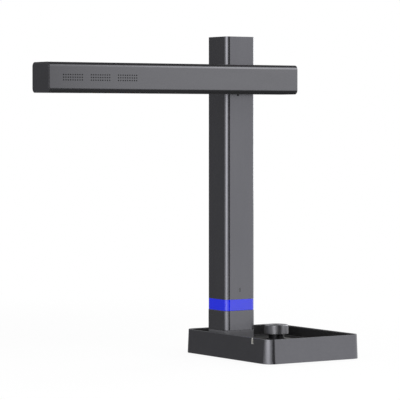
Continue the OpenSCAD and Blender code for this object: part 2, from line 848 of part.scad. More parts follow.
// Aluminium block inside the column that holds the hinge
module hinge_block() {
    side = col_in - laid_gap;
    color("#a9abae") difference() {
        intersection() {
            column_bar(side, col_in_r - laid_gap / 2, arm_z - block_h / 2, arm_z + block_h / 2);
            translate([col_x - side, block_y0, arm_z - block_h]) cube([2 * side, block_t, 2 * block_h]);
        }
        translate([col_x, 0, arm_z]) y_cylinder(bush_out_r, block_y0 - cut, block_y1 + cut);
        for (p = concat(block_at, [grub_at]))
            translate([p[0], 0, p[1]]) y_cylinder(m3_r, block_y0 - cut, block_y0 + block_t / 2);
        translate([col_x, 0, arm_z - pin_pitch_r]) y_cylinder(pin_r, block_y1 - pin_in, block_y1 + cut);
    }
}

// Four flat screws behind the arm that hold the block to the tube
module block_screws() {
    color("#1c1c1d") for (p = block_at) translate([p[0], col_front, p[1]])
        rotate([-90, 0, 0]) flat_screw(m3_r, m3_head_r, m3_head_t, col_wall + block_t / 2 - thread_gap);
}

// Grub screw that shows just under the arm
module block_grub_screw() {
    color("#141415") translate([grub_at[0], 0, grub_at[1]]) difference() {
        y_cylinder(m3_r, col_front + grub_sunk, block_y0 + block_t / 2 - thread_gap);
        translate([0, col_front, 0]) rotate([-90, 0, 0]) cylinder(h = grub_socket, r = m3_r / 2, $fn = 6);
    }
}

// Plain bush with a thrust flange between the column and the arm
module hinge_bush() {
    color("#8a6b3a") translate([col_x, 0, arm_z]) difference() {
        union() {
            y_cylinder(bush_out_r, col_front - eps, block_y1);
            y_cylinder(bush_flange_r, col_front - bush_flange_t, col_front);
        }
        y_cylinder(bush_r, col_front - bush_flange_t - cut, block_y1 + cut);
    }
}

// Bronze disc that gives the hinge its friction
module friction_disc() {
    color("#9a7a45") translate([col_x, 0, arm_z]) difference() {
        y_cylinder(washer_land - part_gap, disc_y0, disc_y0 + disc_t);
        y_cylinder(bush_r, disc_y0 - cut, disc_y0 + disc_t + cut);
    }
}

// Pin in the block that stops the arm level and folded
module stop_pin() {
    color("#8d8f92") translate([col_x, 0, arm_z - pin_pitch_r])
        y_cylinder(pin_r, block_y1 - pin_in, washer_y0 + washer_t - part_gap);
}

// A straight stretch of lead from one point to another along +X, -X, +Y, -Y or +Z
module lead_run(a, b) {
    d = b - a;
    n = norm(d);
    dir = d / n;
    translate(a) rotate([-90 * dir[1], 90 * dir[0], 0]) cylinder(h = n, r = lead_r);
}

// A quarter turn of lead in the XY plane, spun to the quarter that starts at the angle
module lead_elbow(angle) {
    rotate([0, 0, angle]) rotate_extrude(angle = 90) translate([lead_bend, 0]) circle(lead_r, $fn = 48);
}

// Lead that runs from the main board under the deck, up the column and into the shaft
module column_lead() {
    color("#161617") {
        lead_run([board_x0, lead_start_y, lead_z], [col_x + lead_bend, lead_start_y, lead_z]);
        translate([col_x + lead_bend, lead_start_y - lead_bend, lead_z]) lead_elbow(90);
        lead_run([col_x, lead_start_y - lead_bend, lead_z], [col_x, lead_y + lead_bend, lead_z]);
        translate([col_x, lead_y + lead_bend, lead_z + lead_bend]) rotate([90, 0, 90]) lead_elbow(180);
        lead_run([col_x, lead_y, lead_z + lead_bend], [col_x, lead_y, arm_z - lead_bend]);
        translate([col_x, lead_y - lead_bend, arm_z - lead_bend]) rotate([90, 0, 90]) lead_elbow(0);
        lead_run([col_x, lead_y - lead_bend, arm_z], [col_x, lead_split_y + lead_split_gap, arm_z]);
    }
}

// Arm shell: one long section, slotted below, with the grille holes and the shaft's hole
module arm_shell() {
    color("#4b4b4f") difference() {
        arm_bar(0, arm_x0, arm_x1);
        arm_bar(arm_wall, arm_x0 - cut, arm_x1 + cut);
        translate([arm_x0 - cut, arm_y - slot_w / 2, arm_z0 - cut])
            cube([arm_len + 2 * cut, slot_w, arm_wall + 2 * cut]);
        for (g = [0:grille_count - 1], i = [0:grille_cols - 1], j = [0:grille_rows - 1])
            translate([arm_x0 + grille_x + g * patch_pitch + i * grille_pitch, 0,
                arm_z + (j - (grille_rows - 1) / 2) * grille_pitch])
                y_cylinder(grille_d / 2, arm_front - cut, arm_in_y0 + cut, $fn = 24);
        translate([col_x, 0, arm_z]) y_cylinder(shaft_d / 2 + laid_gap, arm_in_y1 - cut, arm_back + cut);
    }
}

// Section of the cover's lips, which lie on the arm's lower wall inside its round corners
module cover_lips() {
    lip_w = cover_w + 2 * cover_lip;
    intersection() {
        round_rect(arm_deep - 2 * arm_wall - laid_gap, arm_h - 2 * arm_wall, max(arm_r - arm_wall, min_r));
        translate([-lip_w / 2, arm_in_z0 - arm_z - cut]) square([lip_w, cover_lip_t + cut]);
    }
}

// Cover that slides into the slot, with openings for the lens and the light bars
module underside_cover() {
    x0 = arm_x0 + end_t;
    x1 = arm_x1 - end_t;
    color("#3a3a3d") difference() {
        union() {
            translate([x0, arm_y - cover_w / 2, cover_z0])
                cube([x1 - x0, cover_w, arm_in_z0 - cover_z0 + eps]);
            translate([x0, arm_y, arm_z]) rotate([90, 0, 90]) linear_extrude(x1 - x0) cover_lips();
        }
        z_cylinder([lens_mx, arm_y], lens_d / 2 + view_edge, arm_z0 - cut, cover_top + cut);
        z_cylinder([lens_mx, arm_y], window_d / 2 + bezel_w, arm_z0 - cut, arm_z0 + window_glass_t);
        for (s = [-1, 1]) {
            translate([bar_x0, arm_y + s * bar_gap / 2 - bar_w / 2, arm_z0 - cut])
                cube([bar_len, bar_w, arm_wall + cover_lip_t + 2 * cut]);
            translate([bar_x0 - bar_step, arm_y + s * bar_gap / 2 - bar_w / 2 - bar_step, arm_in_z0])
                cube([bar_len + 2 * bar_step, bar_w + 2 * bar_step, cover_lip_t + cut]);
        }
        for (p = cover_screw_at) translate([p[0], p[1], cover_z0])
            flat_seat(m3_r, m3_head_r, m3_head_t, cover_top - cover_z0 + cut);
    }
}

// End cap: a plug flush with the arm's end, with a block for the cover screws
module end_cap(x_out, s) {
    xa = s > 0 ? x_out : x_out - end_t;
    xb = s > 0 ? x_out : x_out - end_block;
    color("#454549") difference() {
        union() {
            arm_bar(arm_wall + laid_gap / 2, xa, xa + end_t);
            translate([xa, arm_y - cover_w / 2, arm_z0]) cube([end_t, cover_w, arm_wall + cut]);
            translate([xb, arm_y - end_block_w / 2, cover_top]) cube([end_block, end_block_w, end_block_h]);
        }
        for (k = [-1, 1])
            z_cylinder([x_out + s * cover_screw_in, arm_y + k * cover_screw_off], m3_r,
                cover_top - cut, cover_top + end_thread);
    }
}

// End cap at the camera end
module end_cap_left() {
    end_cap(arm_x0, 1);
}

// End cap at the short end
module end_cap_right() {
    end_cap(arm_x1, -1);
}

// Four screws from the cover into the end caps
module cover_screws() {
    color("#1c1c1d") for (p = cover_screw_at) translate([p[0], p[1], cover_z0])
        flat_screw(m3_r, m3_head_r, m3_head_t, cover_top - cover_z0 + end_thread - thread_gap);
}

// Steel plate that stiffens the arm's rear wall at the hinge
module arm_bracket() {
    color("#8d8f92") difference() {
        translate([col_x - bracket_left, arm_in_y1 - bracket_t, arm_z - bracket_h / 2])
            cube([bracket_left + bracket_right, bracket_t, bracket_h]);
        translate([col_x, 0, arm_z]) y_cylinder(shaft_d / 2, arm_in_y1 - bracket_t - cut, arm_in_y1 + cut);
        for (p = shaft_screw_at) translate([p[0], 0, p[1]])
            y_cylinder(m3_r, arm_in_y1 - bracket_t - cut, arm_in_y1 + cut);
    }
}

// Hollow shaft with a flange inside the arm, which turns in the bush
module hinge_shaft() {
    color("#b9bbbd") difference() {
        union() {
            translate([col_x - shaft_flange_w / 2, shaft_y0, arm_z - shaft_flange_h / 2])
                cube([shaft_flange_w, shaft_flange_t, shaft_flange_h]);
            translate([col_x, 0, arm_z]) y_cylinder(shaft_d / 2, shaft_y0, shaft_end);
        }
        translate([col_x, 0, arm_z]) y_cylinder(shaft_bore_d / 2, shaft_y0 - cut, shaft_end + cut);
        for (p = shaft_screw_at) translate([p[0], 0, p[1]])
            y_cylinder(m3_r, shaft_y0 - cut, shaft_y0 + shaft_flange_t + cut);
    }
}

// Four screws from the shaft's flange into the bracket
module shaft_screws() {
    color("silver") for (p = shaft_screw_at) translate([p[0], shaft_y0, p[1]])
        rotate([-90, 0, 0]) pan_screw(m3_r, m3_head_r, m3_pan_t, shaft_flange_t + bracket_t);
}

// Keyed washer whose gap runs on the stop pin and sets the fold's two ends
module stop_washer() {
    play = asin(pin_r / pin_pitch_r) + stop_play;
    color("#77797c") translate([col_x, 0, arm_z]) difference() {
        y_cylinder(washer_r, washer_y0, washer_y0 + washer_t);
        y_cylinder(shaft_d / 2, washer_y0 - cut, washer_y0 + washer_t + cut);
        translate([0, washer_y0 - cut, 0]) rotate([-90, 0, 0]) rotate([0, 0, 90 - play])
            rotate_extrude(angle = fold_deg + 2 * play)
                translate([washer_land, 0]) square([washer_r, washer_t + 2 * cut]);
    }
}

// One disc spring, its outer edge at z = 0
module disc_spring() {
    ri = shaft_d / 2;
    ro = nut_flats / 2;
    rotate_extrude()
        polygon([[ri, spring_cone], [ri, spring_cone + spring_t], [ro, spring_t], [ro, 0]]);
}

// Pair of disc springs that press the hinge together
module disc_springs() {
    color("#9b9da0") translate([col_x, springs_y0, arm_z]) rotate([-90, 0, 0]) {
        disc_spring();
        translate([0, 0, 2 * (spring_t + spring_cone)]) mirror([0, 0, 1]) disc_spring();
    }
}

// Nut that sets the hinge's friction
module hinge_nut() {
    color("#b9bbbd") translate([col_x, 0, arm_z]) difference() {
        translate([0, nut_y0, 0]) rotate([-90, 0, 0])
            cylinder(h = nut_t, r = nut_flats / 2 / cos(30), $fn = 6);
        y_cylinder(shaft_d / 2, nut_y0 - cut, nut_y0 + nut_t + cut);
    }
}

// Box that holds the lens over its window
module camera_housing() {
    color("#1b1b1c") difference() {
        translate([lens_mx - housing_side / 2, arm_y - housing_side / 2, cover_top])
            cube([housing_side, housing_side, housing_h]);
        translate([lens_mx, arm_y, cover_top - cut]) cylinder(h = housing_h + 2 * cut, r = lens_d / 2);
    }
}

// Lens barrel with its hollow glass facing down
module camera_lens() {
    glass_r = lens_d / 2 - barrel_wall;
    ball_r = (pow(glass_r, 2) + pow(lens_dish, 2)) / (2 * lens_dish);
    color("#20242c") translate([lens_mx, arm_y, cover_top]) difference() {
        cylinder(h = housing_h - sensor_space, r = lens_d / 2);
        translate([0, 0, lens_dish - ball_r]) sphere(ball_r);
    }
}

// Image sensor board on top of the housing
module camera_board() {
    z = cover_top + housing_h;
    color("#1d4a2c") {
        translate([lens_mx - sensor_board_side / 2, arm_y - sensor_board_side / 2, z])
            cube([sensor_board_side, sensor_board_side, sensor_board_t]);
        translate([lens_mx - sensor_side / 2, arm_y - sensor_side / 2, z - sensor_t])
            cube([sensor_side, sensor_side, sensor_t + eps]);
    }
}

// Flat glass in the cover under the lens
module lens_window() {
    color([0.1, 0.12, 0.15, 0.6])
        z_cylinder([lens_mx, arm_y], window_d / 2, arm_z0, arm_z0 + window_glass_t);
}

// Trim ring round the lens window
module lens_bezel() {
    color("#8b8d90") translate([lens_mx, arm_y, arm_z0]) difference() {
        cylinder(h = window_glass_t, r = window_d / 2 + bezel_w);
        translate([0, 0, -cut]) cylinder(h = window_glass_t + 2 * cut, r = window_d / 2);
    }
}

// Two aluminium strips with light chips over the light bars
module led_boards() {
    color("#e8e6dc") for (s = [-1, 1]) translate([bar_x0, arm_y + s * bar_gap / 2, cover_top]) {
        translate([-bar_step, -bar_w / 2 - bar_step, 0])
            cube([bar_len + 2 * bar_step, bar_w + 2 * bar_step, led_board_t]);
        for (i = [0:bar_led_n - 1])
            translate([(2 * i + 1) * bar_len / bar_led_n / 2 - led_size / 2, -led_size / 2, eps - led_t])
                cube([led_size, led_size, led_t]);
    }
}

// Two frosted bars that spread the light onto the page
module light_bars() {
    g = laid_gap / 2;
    step = bar_step - g;
    color("#e9e9e4") for (s = [-1, 1]) translate([bar_x0, arm_y + s * bar_gap / 2 - bar_w / 2, 0]) {
        translate([g, g, arm_z0]) cube([bar_len - 2 * g, bar_w - 2 * g, arm_wall + eps]);
        translate([-step, -step, arm_in_z0])
            cube([bar_len + 2 * step, bar_w + 2 * step, cover_lip_t - led_t - g]);
    }
}

// The middle of a grille patch along the arm
function patch_x(g) = arm_x0 + grille_x + g * patch_pitch + patch_w / 2;

// Black cloth behind the grille holes
module grille_cloth() {
    w = patch_w + grille_d + 2 * cloth_edge;
    h = patch_h + grille_d + 2 * cloth_edge;
    color("#0f0f10") for (g = [0:grille_count - 1])
        translate([patch_x(g) - w / 2, arm_in_y0, arm_z - h / 2]) cube([w, cloth_t, h]);
}

// Flat loudspeakers behind the outer patches, in front of the sensor board
module speakers() {
    y0 = arm_in_y0 + cloth_t;
    y1 = arm_y - sensor_board_side / 2 - part_gap;
    r = min(patch_w / 2, speaker_h) / 2 - speaker_edge;
    color("#222223") for (g = [0:2:grille_count - 1])
        translate([patch_x(g), 0, arm_z]) difference() {
            translate([-patch_w / 2, y0, -speaker_h / 2]) cube([patch_w, y1 - y0, speaker_h]);
            for (x = [-1, 1] * patch_w / 4) translate([x, 0, 0]) y_cylinder(r, y0 - cut, y0 + speaker_dish);
        }
}

// Microphone board behind the middle patch
module microphone_board() {
    y0 = arm_in_y0 + cloth_t;
    y1 = y0 + capsule_t;
    color("#1d4a2c") {
        translate([patch_x(1) - patch_w / 2, y1, arm_z - mic_board_h / 2])
            cube([patch_w, mic_board_t, mic_board_h]);
        for (x = [-1, 1] * patch_w / 4)
            translate([patch_x(1) + x, 0, arm_z]) y_cylinder(capsule_r, y0, y1 + eps);
    }
}

// Processor board inside the arm, on posts of its own
module arm_board() {
    y0 = arm_y - arm_board_wid / 2;
    color("#1d4a2c") {
        translate([arm_board_x0, y0, arm_board_z0]) cube([arm_board_len, arm_board_wid, board_t]);
        for (x = [arm_board_x0 + arm_post_in, arm_board_x1 - arm_post_in], s = [-1, 1])
            translate([x, arm_y + s * (arm_board_wid / 2 - arm_post_edge), cover_top])
                cylinder(h = arm_board_z0 - cover_top + eps, r = arm_post_r);
        chips(arm_chips, [arm_board_x0, y0, arm_board_z1]);
        translate([arm_board_x1 - lead_plug_len, arm_y - lead_plug_w / 2, arm_board_z1 - eps])
            cube([lead_plug_len, lead_plug_w, lead_plug_h + eps]);
        translate([arm_board_x0, arm_y - flat_socket[1] / 2, arm_board_z1 - eps])
            cube(flat_socket + [0, 0, eps]);
    }
}

// Flat ribbon from the sensor board to the processor board
module camera_ribbon() {
    za = cover_top + housing_h + sensor_board_t;
    zb = arm_board_z1 + flat_socket[2];
    xa = lens_mx + sensor_board_side / 2 - ribbon_land;
    xb = arm_board_x0 - ribbon_slope;
    xc = arm_board_x0 + ribbon_land;
    color("#d8d3c4") translate([0, arm_y + camera_ribbon_w / 2, 0]) rotate([90, 0, 0])
        linear_extrude(camera_ribbon_w) polygon([
            [xa, za], [xb, za], [arm_board_x0, zb], [xc, zb],
            [xc, zb + ribbon_t], [arm_board_x0, zb + ribbon_t], [xb, za + ribbon_t], [xa, za + ribbon_t]
        ]);
}

// Lead from the shaft's bore to the processor board
module arm_lead() {
    color("#161617") {
        lead_run([col_x, lead_split_y, arm_z], [col_x, arm_y + lead_bend, arm_z]);
        translate([col_x - lead_bend, arm_y + lead_bend, arm_z]) lead_elbow(270);
        lead_run([col_x - lead_bend, arm_y, arm_z], [arm_board_x1, arm_y, arm_z]);
    }
}

// Plunger of the push switch: it goes down with the knob and doesn't turn
module press_plunger() {
    color("#d9d9d6") z_cylinder(knob_at, plunger_r, plunger_top - plunger_t, plunger_top);
}

// Encoder shaft with its lower flange
module encoder_shaft() {
    color("#a5a7aa") {
        z_cylinder(knob_at, flange_r, flange_top - flange_t, flange_top);
        z_cylinder(knob_at, spindle_d / 2, flange_top - eps, spindle_top);
    }
}

// Hub that joins the cap to the encoder shaft
module knob_hub() {
    color("#161617") difference() {
        union() {
            z_cylinder(knob_at, cap_in_r, hub_z0, hub_z1);
            z_cylinder(knob_at, hub_stem_r, hub_stem_z, hub_z0 + eps);
        }
        z_cylinder(knob_at, spindle_d / 2, hub_stem_z - cut, spindle_top);
    }
}

// Turned cap of the knob
module knob_cap() {
    r = knob_d / 2;
    color("#55565a") translate([knob_x, col_y, 0]) rotate_extrude() polygon([
        [0, cap_z1], [r - cap_edge, cap_z1], [r, cap_z1 - cap_edge],
        [r, cap_z0 + cap_edge], [r - cap_edge, cap_z0],
        [cap_in_r, cap_z0], [cap_in_r, hub_z1], [0, hub_z1]
    ]);
}

base_tray();
tray_liner();
bottom_plate();
counterweight();
rubber_feet();
bottom_screws();
weight_screws();
main_board();
board_screws();
usb_socket();
encoder_body();
encoder_nut();
encoder_board();
encoder_ribbon();
knob_collar();
column_foot();
foot_screws();
lower_sleeve();
light_band();
led_strip();
status_window();
column_tube();
spigot_screws();
column_cap();
hinge_block();
block_screws();
block_grub_screw();
hinge_bush();
friction_disc();
stop_pin();
column_lead();
arm_shell();
underside_cover();
end_cap_left();
end_cap_right();
cover_screws();
arm_bracket();
hinge_shaft();
shaft_screws();
stop_washer();
disc_springs();
hinge_nut();
camera_housing();
camera_lens();
camera_board();
lens_window();
lens_bezel();
led_boards();
light_bars();
grille_cloth();
speakers();
microphone_board();
arm_board();
camera_ribbon();
arm_lead();
press_plunger();
encoder_shaft();
knob_hub();
knob_cap();
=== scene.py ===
"""Looks of an overhead document scanner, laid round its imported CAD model.

The frame is the object's own: +X along the arm towards its short end, -Y towards the page,
+Z up, in metres. The object's sizes are given in millimetres and MM turns them into metres.
The stage, the cards and the lamps are in metres and degrees.
"""
import math

import bpy
import numpy as np
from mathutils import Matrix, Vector


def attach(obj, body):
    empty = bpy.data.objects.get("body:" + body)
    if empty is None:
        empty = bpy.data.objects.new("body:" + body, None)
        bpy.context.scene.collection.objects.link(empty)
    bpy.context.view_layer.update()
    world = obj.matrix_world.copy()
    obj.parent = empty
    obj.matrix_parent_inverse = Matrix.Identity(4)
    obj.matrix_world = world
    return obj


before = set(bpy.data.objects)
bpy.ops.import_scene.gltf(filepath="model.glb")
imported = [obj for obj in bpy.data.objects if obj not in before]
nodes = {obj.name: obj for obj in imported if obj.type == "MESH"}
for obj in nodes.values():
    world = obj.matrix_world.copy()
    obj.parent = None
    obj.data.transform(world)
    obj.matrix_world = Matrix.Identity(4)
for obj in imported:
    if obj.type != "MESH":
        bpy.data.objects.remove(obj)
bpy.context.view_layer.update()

MM = 0.001
scene = bpy.context.scene
scene.view_settings.view_transform = "Standard"


# Colours and shader nodes

def linear(code):
    """An sRGB hex colour as linear RGBA: v / 12.92 when dark, else ((v + 0.055) / 1.055) to the 2.4."""
    v = np.array([int(code[i:i + 2], 16) for i in (1, 3, 5)]) / 255
    v = np.where(v <= 0.04045, v / 12.92, ((v + 0.055) / 1.055) ** 2.4)
    return (*v.tolist(), 1.0)


def add(tree, kind, inputs=None, **settings):
    """Adds a shader node. settings are its own properties; inputs are its sockets, each given a
    value or the socket that feeds it."""
    node = tree.nodes.new("ShaderNode" + kind)
    for key, value in settings.items():
        setattr(node, key, value)
    for key, value in (inputs or {}).items():
        if isinstance(value, bpy.types.NodeSocket):
            tree.links.new(value, node.inputs[key])
        else:
            node.inputs[key].default_value = value
    return node


def blank(name):
    """A material with an empty node tree, and its tree."""
    material = bpy.data.materials.new(name)
    material.use_nodes = True
    material.node_tree.nodes.clear()
    return material, material.node_tree


# Patterns on Object coordinates: a texture node, its scale where the pattern's size is 1, the output
# that carries a value between 0 and 1, and its further sockets

# Soft grains: noise with three finer copies of itself laid over it
GRAIN = ("TexNoise", 1.0, "Fac", {"Detail": 3.0, "Roughness": 0.6})
# Flat flakes, each with a tone of its own
FLAKES = ("TexVoronoi", 1.0, "Color", {})
# Threads of a plain weave, over and under in turn
WEAVE = ("TexChecker", 1.0, "Fac", {})
# Parallel cores side by side along X, as in a flat cable
CORES = ("TexWave", 0.314, "Fac", {})
# Copper tracks under the lacquer of a board: the joints between bricks two sizes long and one high
TRACKS = ("TexBrick", 0.25, "Fac", {"Mortar Size": 0.04, "Mortar Smooth": 0.3})


def polar(tree, place, middle):
    """For a turned piece: the place as (distance from an upright axis, 0, height), and the direction
    of the tool marks, which is the flat radius turned by a right angle."""
    moved = add(tree, "Mapping", {"Vector": place, "Location": [-v * MM for v in middle]})
    part = add(tree, "SeparateXYZ", {"Vector": moved.outputs["Vector"]}).outputs
    flat = add(tree, "CombineXYZ", {"X": part["X"], "Y": part["Y"]}).outputs["Vector"]
    radius = add(tree, "VectorMath", {0: flat}, operation="LENGTH").outputs["Value"]
    place = add(tree, "CombineXYZ", {"X": radius, "Z": part["Z"]}).outputs["Vector"]
    along = add(tree, "VectorMath", {0: flat, 1: (0, 0, -1)}, operation="CROSS_PRODUCT")
    along = add(tree, "VectorTransform", {"Vector": along.outputs["Vector"]},
                vector_type="VECTOR", convert_from="OBJECT", convert_to="WORLD")
    along = add(tree, "VectorMath", {0: along.outputs["Vector"]}, operation="NORMALIZE")
    return place, along.outputs["Vector"]


# How much wider than the fine pattern the slow clouds in a finish are, and between which values
# most of their mean lies
CLOUD = 14
SPAN = (0.3, 0.7)


def surface(name, colour, dark, rough, pattern=GRAIN, size=1.0, bump=0.01, metal=0.0,
            stretch=(1, 1, 1), turned_at=None, **constants):
    """A finish made of one fine pattern and slow clouds of noise.

    Their mean mixes the darker tone with the colour and moves the roughness between two values,
    and the fine pattern alone lifts the surface by bump mm. stretch squeezes the pattern along X,
    Y and Z. turned_at is a point in mm on the axis of a piece from a lathe. constants are
    further sockets of the shader.
    """
    material, tree = blank(name)
    place = add(tree, "TexCoord").outputs["Object"]
    if turned_at:
        place, constants["Tangent"] = polar(tree, place, turned_at)
        constants |= {"Anisotropic": 0.8, "Anisotropic Rotation": 0.25}
    place = add(tree, "Mapping", {"Vector": place, "Scale": stretch}).outputs["Vector"]
    values = []
    for (kind, scale, output, sockets), width in ((pattern, size), (GRAIN, CLOUD * size)):
        texture = add(tree, kind, {"Vector": place, "Scale": scale / (width * MM), **sockets})
        values.append(texture.outputs[output])
    fine, slow = values
    both = add(tree, "Mix", {"Factor": 0.5, "A": fine, "B": slow}).outputs["Result"]
    share = add(tree, "MapRange", {"Value": both, "From Min": SPAN[0], "From Max": SPAN[1]})
    share = share.outputs["Result"]
    tone = add(tree, "Mix", {"Factor": share, "A": linear(dark), "B": linear(colour)},
               data_type="RGBA")
    gloss = add(tree, "MapRange", {"Value": share, "To Min": rough[0], "To Max": rough[1]})
    lift = add(tree, "Bump", {"Height": fine, "Distance": bump * MM, "Strength": 1.0})
    shader = add(tree, "BsdfPrincipled", {
        "Base Color": tone.outputs["Result"], "Metallic": metal, "Roughness": gloss.outputs["Result"],
        "Normal": lift.outputs["Normal"], **constants})
    add(tree, "OutputMaterial", {"Surface": shader.outputs["BSDF"]})
    return material


# Camera, worked out from the photograph's edges

SENSOR = 36.0
FOCAL_LENGTH = 207.146
CAMERA_PLACE = (-1659.91, -2370.30, 295.00)
CAMERA_AZIMUTH = -33.2146
CAMERA_ELEVATION = 1.9514


def towards(azimuth, elevation):
    """The unit vector at an azimuth (0 is -Y, 90 is +X) and an elevation, in degrees."""
    a, e = math.radians(azimuth), math.radians(elevation)
    return Vector((math.sin(a) * math.cos(e), -math.cos(a) * math.cos(e), math.sin(e)))


def look_back(made, azimuth, elevation):
    """Turns a lamp or camera that stands in a direction, so that it looks the opposite way."""
    made.rotation_mode = "QUATERNION"
    made.rotation_quaternion = (-towards(azimuth, elevation)).to_track_quat("-Z", "Y")


lens = bpy.data.cameras.new("photo_camera")
lens.lens = FOCAL_LENGTH
lens.sensor_width = SENSOR
camera = bpy.data.objects.new("photo_camera", lens)
scene.collection.objects.link(camera)
camera.location = Vector(CAMERA_PLACE) * MM
look_back(camera, CAMERA_AZIMUTH, CAMERA_ELEVATION)
scene.camera = camera


# White stage

MIDDLE = Vector((-0.09, 0.0, 0.2))
DIRECT_RAYS = ("Is Camera Ray", "Is Glossy Ray", "Is Transmission Ray")


def seen_directly(tree):
    """1 for the rays that look at the background itself, in the air, in metal and through glass."""
    path = add(tree, "LightPath").outputs
    total = path[DIRECT_RAYS[0]]
    for ray in DIRECT_RAYS[1:]:
        total = add(tree, "Math", {0: total, 1: path[ray]}, operation="MAXIMUM").outputs["Value"]
    return total


# White to whoever looks at it, and a softer level for the light that it throws on the object
AMBIENT = 0.36
world = bpy.data.worlds.new("white_studio")
scene.world = world
world.use_nodes = True
world.node_tree.nodes.clear()
level = add(world.node_tree, "MapRange", {"Value": seen_directly(world.node_tree),
                                          "To Min": AMBIENT, "To Max": 1.0}).outputs["Result"]
sky = add(world.node_tree, "Background", {"Color": (1, 1, 1, 1), "Strength": level})
add(world.node_tree, "OutputWorld", {"Surface": sky.outputs["Background"]})


def grid_mesh(name, points, material, closed=False):
    """A mesh through a grid of points of shape (rows, columns, 3), or through many such grids, in
    metres. A closed grid's last column joins its first."""
    index = np.arange(math.prod(points.shape[:-1])).reshape(points.shape[:-1])
    if closed:
        index = np.concatenate([index, index[..., :1]], axis=-1)
    quads = np.stack([index[..., :-1, :-1], index[..., :-1, 1:],
                      index[..., 1:, 1:], index[..., 1:, :-1]], -1)
    mesh = bpy.data.meshes.new(name)
    mesh.from_pydata(points.reshape(-1, 3).tolist(), [], quads.reshape(-1, 4).tolist())
    mesh.materials.append(material)
    made = bpy.data.objects.new(name, mesh)
    scene.collection.objects.link(made)
    return made


def front_only(tree, shader, cover=None):
    """The shader on the front of a sheet and nothing on its back. cover thins out the front."""
    clear = add(tree, "BsdfTransparent").outputs["BSDF"]
    if cover:
        shader = add(tree, "MixShader", {0: cover, 1: clear, 2: shader}).outputs["Shader"]
    back = add(tree, "NewGeometry").outputs["Backfacing"]
    return add(tree, "MixShader", {0: back, 1: shader, 2: clear}).outputs["Shader"]


# Pale paper floor: white to whoever looks at it. Near the object a small part of it is real
# matt paper that takes the shadow. It throws back a soft grey, and is clear from below.
SHADOW_PART = 0.12
LAMP_SHARE = 0.75       # of the real part's white comes from the lamps and the world
BOUNCE = 0.4
FLOOR_REACH = 12.0      # metres from the middle
SHADOW_FADES = (0.5, 1.1)
paper, tree = blank("paper_sweep_white")
apart = add(tree, "VectorMath", {0: add(tree, "TexCoord").outputs["Object"]}, operation="LENGTH")
near = add(tree, "MapRange", {
    "Value": apart.outputs["Value"], "From Min": SHADOW_FADES[0], "From Max": SHADOW_FADES[1],
    "To Min": SHADOW_PART, "To Max": 0.0}, interpolation_type="SMOOTHSTEP")
near = near.outputs["Result"]
shade = add(tree, "BsdfDiffuse", {"Color": near})
glow = add(tree, "Math", {0: near, 1: -LAMP_SHARE, 2: 1.0}, operation="MULTIPLY_ADD").outputs["Value"]
glow = add(tree, "Emission", {"Color": (1, 1, 1, 1), "Strength": glow})
lit = add(tree, "AddShader", {0: shade.outputs["BSDF"], 1: glow.outputs["Emission"]})
bounce = add(tree, "Emission", {"Color": (1, 1, 1, 1), "Strength": BOUNCE})
upper = add(tree, "MixShader", {0: seen_directly(tree), 1: bounce.outputs["Emission"],
                                2: lit.outputs["Shader"]})
add(tree, "OutputMaterial", {"Surface": front_only(tree, upper.outputs["Shader"])})


def level_sheet(across, along, height):
    """The points of a level sheet over two lists of places, in metres."""
    x, y = np.meshgrid(across, along)
    return np.stack([x, y, np.full_like(x, height)], -1)


ends = (-FLOOR_REACH, FLOOR_REACH)
grid_mesh("paper_floor", level_sheet(ends, ends, 0.0), paper)


# Cards and felts round the object: only reflections show them

def matt(name, level):
    """A matt cloth or board that shows one level in reflections. It thins out at its border, so
    its reflection has a soft edge."""
    material, tree = blank(name)
    shown = add(tree, "Emission", {"Color": (1, 1, 1, 1), "Strength": level}).outputs["Emission"]
    cover = add(tree, "Attribute", attribute_name="cover").outputs["Fac"]
    add(tree, "OutputMaterial", {"Surface": front_only(tree, shown, cover)})
    return material


FELT = matt("black_felt", 0.05)
CARD = matt("grey_card", 0.16)
MIDDLE_CARD = matt("middle_card", 0.45)
WHITE_CARD = matt("white_card", 0.8)
BRIGHT_CARD = matt("bright_card", 1.4)
SILVER_CARD = matt("silver_card", 2.1)
CARD_DISTANCE = 2.2
SOFT_ANGLE = 5


def steps(low, high, soft):
    """Places from low to high whose first and last step are soft wide, laid across the two ends."""
    inner = np.linspace(low + soft / 2, high - soft / 2, 11)
    return np.concatenate(([low - soft / 2], inner, [high + soft / 2]))


def flag(name, points, material):
    """A sheet that only glossy rays meet. Its cover is 0 along the border and 1 inside."""
    made = grid_mesh(name, points, material)
    cover = np.zeros(points.shape[:2])
    cover[1:-1, 1:-1] = 1
    made.data.attributes.new("cover", "FLOAT", "POINT").data.foreach_set("value", cover.ravel())
    made.visible_camera = made.visible_diffuse = made.visible_shadow = False
    made.visible_transmission = False


def hanging(name, azimuths, elevations, material):
    """A flag on a ball round the object: its middle plus the distance times towards(a, e)."""
    a, e = np.meshgrid(np.radians(steps(*azimuths, SOFT_ANGLE)),
                       np.radians(steps(*elevations, SOFT_ANGLE)[::-1]))
    ball = np.stack([np.sin(a) * np.cos(e), -np.cos(a) * np.cos(e), np.sin(e)], -1)
    flag(name, np.array(MIDDLE) + CARD_DISTANCE * ball, material)


def lying(name, corner, azimuths, material, reach=3.0, start=0.0):
    """A fan on the floor: a corner plus r (sin a, -cos a), between two azimuths, with r from a start
    to a reach. Its last tenth is soft, and so is its first fifth beyond the start."""
    radii = (reach, 0.9 * reach, 1.2 * start + 0.006, start)
    a, r = np.meshgrid(np.radians(steps(*azimuths, SOFT_ANGLE)), radii)
    flag(name, np.array(corner) + np.stack([r * np.sin(a), -r * np.cos(a), np.zeros_like(r)], -1),
         material)


def standing(name, x, along, upright, material):
    """An upright flag at x over lists of places along Y and Z. It faces +X where Y rises."""
    flag(name, level_sheet(along, upright, x)[..., [2, 0, 1]], material)


